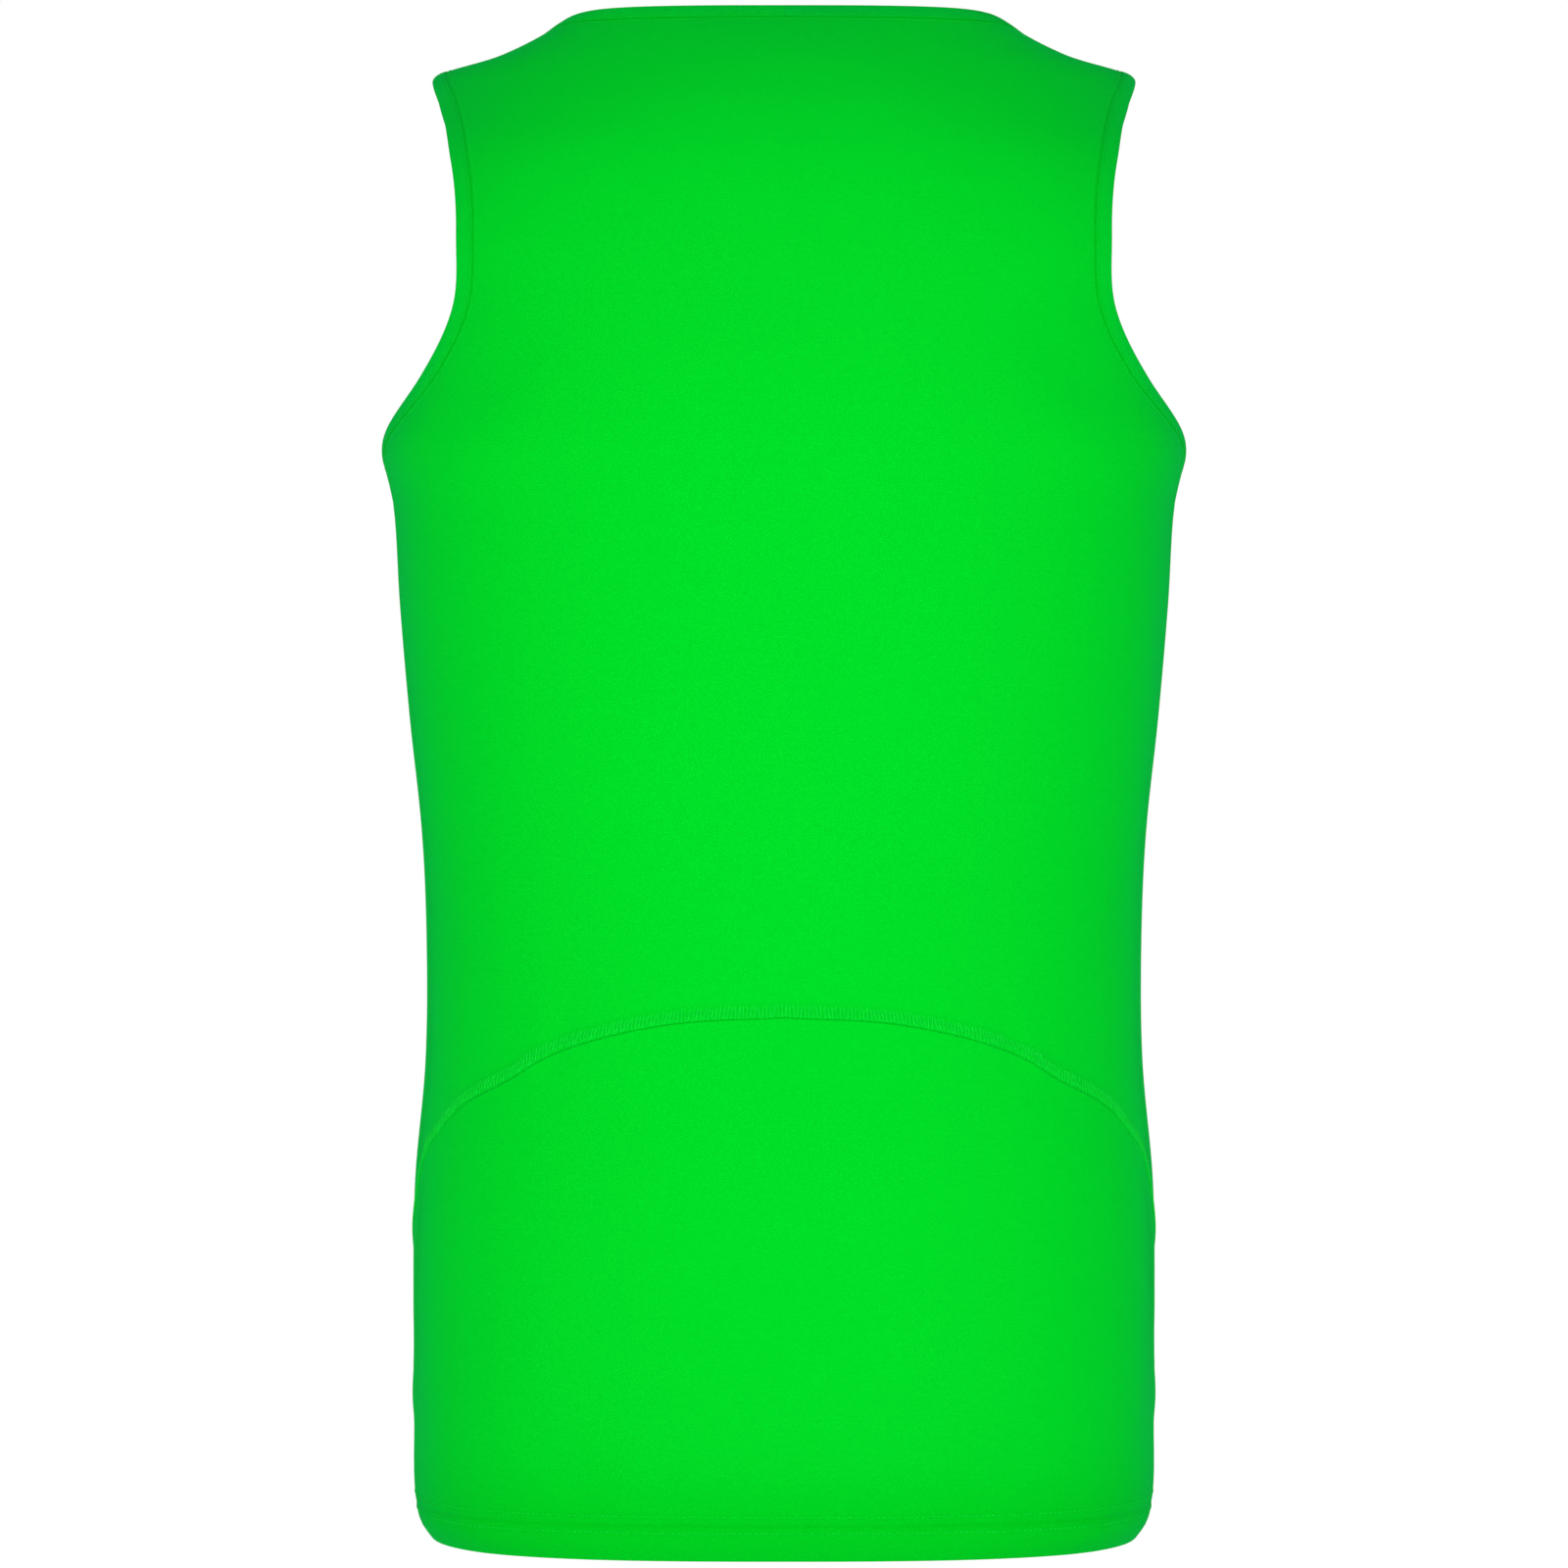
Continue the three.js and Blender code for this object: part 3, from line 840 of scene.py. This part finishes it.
def topRows(middle, bottomRow, count):
    armhole = armholeZone(middle)
    body = rowsBetween(bottomRow, armhole[0], evenSteps(count))
    atNeck = 1 - np.array(panels["edgeSteps"])[::-1] / panels["shoulderRun"]
    steps = np.concatenate([evenSteps(panels["shoulderRows"])[:-1] * atNeck[0], atNeck])
    return body + armhole[1:] + rowsBetween(armhole[-1], neckRow(middle), steps)


def makeBackUpper():
    low = [archRow(distance) for distance in archLook["distances"]]
    rows = low + topRows(0, low[-1], panels["upperRows"])
    places = np.array(rows)
    distance = np.full(places.shape[:2], farOff)
    distance[:len(low)] = np.array(archLook["distances"])[:, None]
    fadeFrom = archLook["bandWidth"] - archLook["bandEdge"]
    inBand = 1 - np.clip((distance - fadeFrom) / archLook["bandFade"], 0, 1)
    # Painted shade on the cloth under the flat seam's threads.
    return panel("back_upper", rows, archLook["bandRise"] * inBand, seamShade["band"] * inBand)


def makeFront():
    hem = [levelRow(math.pi, travel) for travel in hemLook["rows"]]
    rows = hem + topRows(math.pi, hem[-1], panels["frontRows"])
    travel = np.array(rows)[..., 1]
    return panel("front", rows, bodyRelief(travel), bodyShade(travel))


backUpper = makeBackUpper()
backLower = makeBackLower()
front = makeFront()
print("panels ready:", [len(piece.data.polygons) for piece in (backUpper, backLower, front)])

# Section of a folded tape from its free edge to its seam, drawn for a tape of the armhole's width.
# Columns: across the tape, out of the cloth's outside, and how much painted shade darkens the colour there.
tapeOutside = [
    [0, -0.6, 0], [0.05, -0.3, 0], [0.2, 0.05, 0], [0.5, 0.34, 0], [1, 0.52, 0], [1.8, 0.6, 0],
    [3.2, 0.62, 0], [4.8, 0.6, 0], [6.2, 0.55, 0], [7, 0.44, 0.15], [7.7, 0.26, 0.5], [8.2, 0.36, 0.2],
    [8.7, 0.3, 0.3], [9.05, 0.04, 1], [9.2, -0.35, 1],
]
tapeInside = [
    [9.2, -0.85, 1], [9.05, -1.3, 0.6], [8.6, -1.55, 0.2], [7.7, -1.5, 0.3], [6.4, -1.7, 0],
    [4.4, -1.8, 0], [2, -1.78, 0], [1, -1.7, 0], [0.5, -1.52, 0], [0.2, -1.24, 0], [0.05, -0.92, 0],
]


def foldedTape(name, inCloth, tape, side=1):
    share = np.linspace(0, 1, tape["steps"], endpoint=False)
    section = np.array(tapeOutside + tapeInside)
    # The third column is painted shade, in the tape's stitch groove and at its seam.
    across, out, depth = section.T
    angle, travel = inCloth(share[:, None], across[None, :] * tape["width"] / armholeTape["width"])
    points, _ = clothPoints(angle * side, travel, np.broadcast_to(out, angle.shape))
    along = runLengths(points, 0)
    around = runLengths(section[:, :2], 0)
    uv = np.stack([np.broadcast_to(around * mm, along.shape), along], -1)
    sewn = np.broadcast_to(depth, along.shape)
    return ringOfSections(name, points, uv, sewn, bindingKnit, side < 0)


neckBinding = foldedTape("neck_binding", inNeckCloth, neckTape)
armholeBindingLeft = foldedTape("armhole_binding_left", inArmholeCloth, armholeTape)
armholeBindingRight = foldedTape("armhole_binding_right", inArmholeCloth, armholeTape, -1)
print("tapes ready")

# Sewing: every stitch is one short arc of thread, laid along a path in the cloth.
threadGrid = {"along": 4, "round": 6}


def makeStitchRow():
    tree = bpy.data.node_groups.new("stitchRow", "GeometryNodeTree")
    addInput(tree, "Geometry", "NodeSocketGeometry")
    for name in ("Pitch", "Length", "Thread", "Rise", "Sink", "Flatness", "Uneven"):
        addInput(tree, name, "NodeSocketFloat")
    addInput(tree, "Seed", "NodeSocketInt")
    addInput(tree, "Material", "NodeSocketMaterial")
    addOutput(tree, "Geometry", "NodeSocketGeometry")
    nodes = tree.nodes
    link = tree.links.new
    start = nodes.new("NodeGroupInput")
    end = nodes.new("NodeGroupOutput")

    # The path, with a point for each stitch.
    path = nodes.new("GeometryNodeMeshToCurve")
    link(start.outputs["Geometry"], path.inputs[0])
    spaced = nodes.new("GeometryNodeResampleCurve")
    spaced.mode = "LENGTH"
    link(path.outputs[0], spaced.inputs["Curve"])
    link(start.outputs["Pitch"], spaced.inputs["Length"])

    # One stitch: the thread comes up, lies over the cloth and goes down again.
    half = mathNode(tree, "MULTIPLY", start.outputs["Length"], 0.5)
    dive = mathNode(tree, "MULTIPLY", start.outputs["Sink"], -1.0)
    arc = nodes.new("GeometryNodeCurveQuadraticBezier")
    setInputs(arc, {"Resolution": threadGrid["along"]})
    for name, side in (("Start", -1.0), ("Middle", 0.0), ("End", 1.0)):
        corner = nodes.new("ShaderNodeCombineXYZ")
        link(mathNode(tree, "MULTIPLY", half, side), corner.inputs["X"])
        height = start.outputs["Rise"] if side == 0 else dive
        link(height, corner.inputs["Z"])
        link(corner.outputs[0], arc.inputs[name])
    threadSection = nodes.new("GeometryNodeCurvePrimitiveCircle")
    setInputs(threadSection, {"Resolution": threadGrid["round"]})
    link(mathNode(tree, "MULTIPLY", start.outputs["Thread"], 0.5), threadSection.inputs["Radius"])
    thread = nodes.new("GeometryNodeCurveToMesh")
    setInputs(thread, {"Fill Caps": True})
    link(arc.outputs[0], thread.inputs["Curve"])
    link(threadSection.outputs[0], thread.inputs["Profile Curve"])

    # Each stands out of the cloth and points along its own way, a little unevenly.
    ways = {}
    for name in ("out", "along"):
        ways[name] = nodes.new("GeometryNodeInputNamedAttribute")
        ways[name].data_type = "FLOAT_VECTOR"
        setInputs(ways[name], {"Name": name})
    frameOf = nodes.new("FunctionNodeAxesToRotation")
    frameOf.primary_axis = "Z"
    frameOf.secondary_axis = "X"
    link(ways["out"].outputs[0], frameOf.inputs["Primary Axis"])
    link(ways["along"].outputs[0], frameOf.inputs["Secondary Axis"])
    uneven = nodes.new("FunctionNodeRandomValue")
    uneven.data_type = "FLOAT"  # whose limits are inputs 2 and 3
    low = mathNode(tree, "MULTIPLY", start.outputs["Uneven"], -1.0)
    link(low, uneven.inputs[2])
    link(start.outputs["Uneven"], uneven.inputs[3])
    link(start.outputs["Seed"], uneven.inputs["Seed"])
    twist = nodes.new("ShaderNodeCombineXYZ")
    link(uneven.outputs[1], twist.inputs["Z"])
    asTurn = nodes.new("FunctionNodeEulerToRotation")
    link(twist.outputs[0], asTurn.inputs[0])
    turned = nodes.new("FunctionNodeRotateRotation")
    turned.rotation_space = "LOCAL"
    link(frameOf.outputs[0], turned.inputs[0])
    link(asTurn.outputs[0], turned.inputs[1])
    stretch = nodes.new("ShaderNodeVectorMath")
    stretch.operation = "LENGTH"
    link(ways["along"].outputs[0], stretch.inputs[0])
    size = nodes.new("ShaderNodeCombineXYZ")
    link(stretch.outputs["Value"], size.inputs["X"])
    setInputs(size, {"Y": 1})
    link(start.outputs["Flatness"], size.inputs["Z"])

    placed = nodes.new("GeometryNodeInstanceOnPoints")
    link(spaced.outputs[0], placed.inputs["Points"])
    link(thread.outputs[0], placed.inputs["Instance"])
    link(turned.outputs[0], placed.inputs["Rotation"])
    link(size.outputs[0], placed.inputs["Scale"])
    real = nodes.new("GeometryNodeRealizeInstances")
    link(placed.outputs[0], real.inputs[0])
    smooth = nodes.new("GeometryNodeSetShadeSmooth")
    link(real.outputs[0], smooth.inputs[0])
    finish = nodes.new("GeometryNodeSetMaterial")
    link(smooth.outputs[0], finish.inputs["Geometry"])
    link(start.outputs["Material"], finish.inputs["Material"])
    link(finish.outputs[0], end.inputs[0])
    return tree


stitchRow = makeStitchRow()

# Each kind of stitch, its lengths in millimetres.
stitches = {
    "flatSeam": {"Pitch": 1.75, "Length": 5.7, "Thread": 0.7, "Rise": 1, "Sink": 0.35,
                 "Flatness": 0.6, "Uneven": 0.2, "Seed": 3},
    "flatSeamReturn": {"Pitch": 1.75, "Length": 5.9, "Thread": 0.3, "Rise": 0.7, "Sink": 0.3,
                       "Flatness": 0.6, "Uneven": 0.05, "Seed": 5},
    "hem": {"Pitch": 2.5, "Length": 1.3, "Thread": 0.46, "Rise": 0.46, "Sink": 0.18,
            "Flatness": 0.8, "Uneven": 0.08, "Seed": 7},
    "tape": {"Pitch": 1.55, "Length": 1.3, "Thread": 0.36, "Rise": 0.42, "Sink": 0.16,
             "Flatness": 0.8, "Uneven": 0.06, "Seed": 11},
}


# A path for stitches, as loose edges with the way out of the cloth and the way each stitch points.
def stitchPath(angle, travel, out, closed, along=None):
    points, normal = clothPoints(angle, travel, out)
    if along is None:
        ahead = np.roll(points, -1, 0) - np.roll(points, 1, 0)
        if not closed:
            ahead[0] = points[1] - points[0]
            ahead[-1] = points[-1] - points[-2]
        along = unit(ahead)
    number = np.arange(len(points))
    edges = np.stack([number, np.roll(number, -1)], -1)
    return {"points": points, "out": normal, "along": along, "edges": edges if closed else edges[:-1]}


def sew(name, paths, kind):
    mesh = bpy.data.meshes.new(name)
    starts = np.cumsum([0] + [len(path["points"]) for path in paths])
    points = np.concatenate([path["points"] for path in paths])
    edges = np.concatenate([path["edges"] + start for path, start in zip(paths, starts)])
    mesh.from_pydata(points.tolist(), edges.tolist(), [])
    for way in ("out", "along"):
        layer = mesh.attributes.new(way, "FLOAT_VECTOR", "POINT")
        layer.data.foreach_set("vector", np.concatenate([path[way] for path in paths]).ravel())
    rows = bpy.data.objects.new(name, mesh)
    bpy.context.scene.collection.objects.link(rows)
    modifier = rows.modifiers.new("stitches", "NODES")
    modifier.node_group = stitchRow
    sizes = stitches[kind]
    for item in stitchRow.interface.items_tree:
        if item.in_out != "INPUT" or item.name == "Geometry":
            continue
        if item.name == "Material":
            modifier[item.identifier] = sewingThread
        elif item.name in ("Seed", "Flatness", "Uneven"):
            modifier[item.identifier] = sizes[item.name]
        else:
            modifier[item.identifier] = sizes[item.name] * mm
    rows.update_tag()
    bpy.context.view_layer.update()
    stitched = bpy.data.meshes.new_from_object(
        rows.evaluated_get(bpy.context.evaluated_depsgraph_get()))
    rows.modifiers.clear()
    rows.data = stitched
    bpy.data.meshes.remove(mesh)
    stitched.name = name
    for way in ("out", "along"):
        layer = stitched.attributes.get(way)
        if layer:
            stitched.attributes.remove(layer)
    return rows


# Rows of stitches round an opening: in the groove near the tape's seam, and on the cloth beside it.
tapeSewing = {"onTapeOut": 0.26, "onClothOut": 0.02, "pathSteps": 360}


def sewTape(name, inCloth, tape, side=1):
    share = np.linspace(0, 1, tapeSewing["pathSteps"], endpoint=False)
    paths = []
    for row in ("onTape", "onCloth"):
        angle, travel = inCloth(share, np.full(len(share), float(tape[row])))
        paths.append(stitchPath(angle * side, travel, tapeSewing[row + "Out"], True))
    return sew(name, paths, "tape")


def hemRow(travel):
    angle = np.linspace(0, 2 * math.pi, hemLook["pathSteps"], endpoint=False)
    return stitchPath(angle, np.full(len(angle), float(travel)), hemLook["threadOut"], True)


# Threads over the flat seam. They lean a few degrees off upright, however the seam slopes, and the
# other way past the middle. Thinner return threads under them lean against them.
archSewing = {
    "lastAngle": 88.6,
    "pathSteps": 420,
    "lean": 8,
    "returnLean": -9,
    "returnUnder": 0.06,
    "leanTurn": 0.3,  # how quickly the lean changes over at the middle
    "leastSteep": 0.55,  # limits how much longer a thread gets where the seam is steep
}


def archThreads(leanDegrees, out):
    lean = math.radians(leanDegrees)
    last = archSewing["lastAngle"]
    angle = np.radians(np.linspace(last, -last, archSewing["pathSteps"]))
    turned = np.abs(angle)
    level = archHeight(turned)
    around, up = clothDirections(angle, level)
    step = form["archStep"]
    slope = (archHeight(turned + step) - archHeight(turned - step)) / (2 * step)
    slope = slope / np.linalg.norm(around, axis=-1)
    travel = level + archLook["bandWidth"] / 2 * np.hypot(1, slope)
    tilt = math.tan(lean) * np.tanh(angle / archSewing["leanTurn"])[:, None]
    way = unit(unit(up) - tilt * unit(around))
    steep = np.cos(np.arctan(np.abs(slope)) - lean)
    way = way / np.clip(steep, archSewing["leastSteep"], 1)[:, None]
    return stitchPath(angle, travel, np.full(len(angle), out), False, way)


flatSeamThreads = archThreads(archSewing["lean"], archLook["bandRise"])
returnThreads = archThreads(archSewing["returnLean"], archLook["bandRise"] - archSewing["returnUnder"])
flatSeamSewing = sew("arch_seam_stitches", [flatSeamThreads], "flatSeam")
flatSeamReturn = sew("arch_seam_return_stitches", [returnThreads], "flatSeamReturn")
hemSewing = sew("hem_stitches", [hemRow(travel) for travel in hemLook["stitchTravels"]], "hem")
neckSewing = sewTape("neck_stitches", inNeckCloth, neckTape)
armholeSewing = [
    sewTape("armhole_stitches_left", inArmholeCloth, armholeTape),
    sewTape("armhole_stitches_right", inArmholeCloth, armholeTape, -1),
]
print("sewing ready:", [len(piece.data.polygons) for piece in (flatSeamSewing, hemSewing, neckSewing)])

# Camera: level, square to the back, as far off as a studio lens stands.
cameraSet = {"distance": 2.5, "height": -0.3415, "lens": 122.28, "sensor": 36}
cameraData = bpy.data.cameras.new("camera")
cameraData.lens = cameraSet["lens"]
cameraData.sensor_width = cameraSet["sensor"]
camera = bpy.data.objects.new("camera", cameraData)
camera.location = (0, cameraSet["distance"], cameraSet["height"])
camera.rotation_euler = (quarterTurn, 0, math.pi)
bpy.context.scene.collection.objects.link(camera)
bpy.context.scene.camera = camera

# A plain pale floor well below the hem, so that the hem's open end stays clear of it.
floorSet = {
    "below": 0.26,
    "radius": 9,
    "sides": 96,
    "colour": (0.82, 0.82, 0.82, 1),
    "roughness": 0.9,
    "glow": 0.75,
}


def makeFloor():
    low = cadBox[0][2] - floorSet["below"]
    turns = np.linspace(0, 2 * math.pi, floorSet["sides"], endpoint=False)
    radius = floorSet["radius"]
    rim = [(radius * math.cos(turn), radius * math.sin(turn), low) for turn in turns]
    mesh = bpy.data.meshes.new("floor")
    mesh.from_pydata(rim, [], [list(range(len(rim)))])
    material = bpy.data.materials.new("floorPaint")
    material.use_nodes = True
    tree = material.node_tree
    shader = tree.nodes["Principled BSDF"]
    setInputs(shader, {
        "Base Color": floorSet["colour"],
        "Roughness": floorSet["roughness"],
        "Emission Color": white,
    })
    path = tree.nodes.new("ShaderNodeLightPath")
    glow = mathNode(tree, "MULTIPLY", path.outputs["Is Camera Ray"], floorSet["glow"])
    tree.links.new(glow, shader.inputs["Emission Strength"])
    mesh.materials.append(material)
    piece = bpy.data.objects.new("floor", mesh)
    bpy.context.scene.collection.objects.link(piece)
    return piece


floor = makeFloor()

# Plain soft studio light: a soft box before the back and one before the front, fill from the sides
# and from above, and dim light all round. Sizes in metres, powers in watts.
lights = {
    "world": 0.31,
    "softBox": {"place": (0, 0.9, -0.32), "target": (0, 0, -0.32), "size": (0.5, 0.9), "power": 4.95},
    "sideFill": {"place": (1.5, 0.7, -0.36), "target": (0, 0, -0.36), "size": (0.5, 1.4), "power": 2.5},
    "overhead": {"place": (0, 0, 1.1), "target": (0, 0, 0), "size": (1.4, 0.4), "power": 1.2},
}


def addAreaLight(name, place, target, size, power):
    data = bpy.data.lights.new(name, "AREA")
    data.shape = "RECTANGLE"
    data.size, data.size_y = size
    data.energy = power
    light = bpy.data.objects.new(name, data)
    light.location = place
    way = np.array(target, float) - np.array(place, float)
    light.rotation_euler = (
        math.atan2(math.hypot(way[0], way[1]), -way[2]), 0, math.atan2(way[1], way[0]) - quarterTurn)
    light.visible_camera = False
    bpy.context.scene.collection.objects.link(light)


# A light that stands off the middle is matched on the other side.
for name in ("softBox", "sideFill", "overhead"):
    light = dict(lights[name])
    x, y, z = light.pop("place")
    for sideX in (1, -1) if x else (1,):
        for sideY in (1, -1) if y else (1,):
            addAreaLight(name, (x * sideX, y * sideY, z), **light)


def makeWorld():
    world = bpy.data.worlds.new("studio")
    bpy.context.scene.world = world
    world.use_nodes = True
    tree = world.node_tree
    link = tree.links.new
    tree.nodes.clear()
    end = tree.nodes.new("ShaderNodeOutputWorld")
    path = tree.nodes.new("ShaderNodeLightPath")
    mix = tree.nodes.new("ShaderNodeMixShader")
    link(path.outputs["Is Camera Ray"], mix.inputs[0])
    for index, strength in ((1, lights["world"]), (2, 1)):  # dim light, and a white backdrop
        background = tree.nodes.new("ShaderNodeBackground")
        setInputs(background, {"Strength": strength, "Color": white})
        link(background.outputs[0], mix.inputs[index])
    link(mix.outputs[0], end.inputs["Surface"])


makeWorld()
bpy.context.scene.view_settings.view_transform = "Standard"
print("light and camera ready")

# Everything rides on the one body. Each piece of cloth stands in for its solid, which is hidden.
cuts = {
    "back_upper": {"piece": backUpper, "flat": (0.512, 0.60), "area": 0.203, "slot": "body_knit"},
    "back_lower": {"piece": backLower, "flat": (0.472, 0.247), "area": 0.099, "slot": "body_knit"},
    "front": {"piece": front, "flat": (0.512, 0.70), "area": 0.277, "slot": "body_knit"},
    "neck_binding": {"piece": neckBinding, "flat": (0.0115, 0.664), "area": None, "slot": "binding_knit"},
    "armhole_binding_left": {
        "piece": armholeBindingLeft, "flat": (0.0115, 0.574), "area": None, "slot": "binding_knit"},
    "armhole_binding_right": {
        "piece": armholeBindingRight, "flat": (0.0115, 0.574), "area": None, "slot": "binding_knit"},
}
for node, cut in cuts.items():
    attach(cut["piece"], "root")
    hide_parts(node)

sewing = {
    "body_knit": [flatSeamSewing, flatSeamReturn, hemSewing],
    "binding_knit": [neckSewing, *armholeSewing],
}
for slotName, pieces in sewing.items():
    for piece in pieces:
        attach(piece, "root")
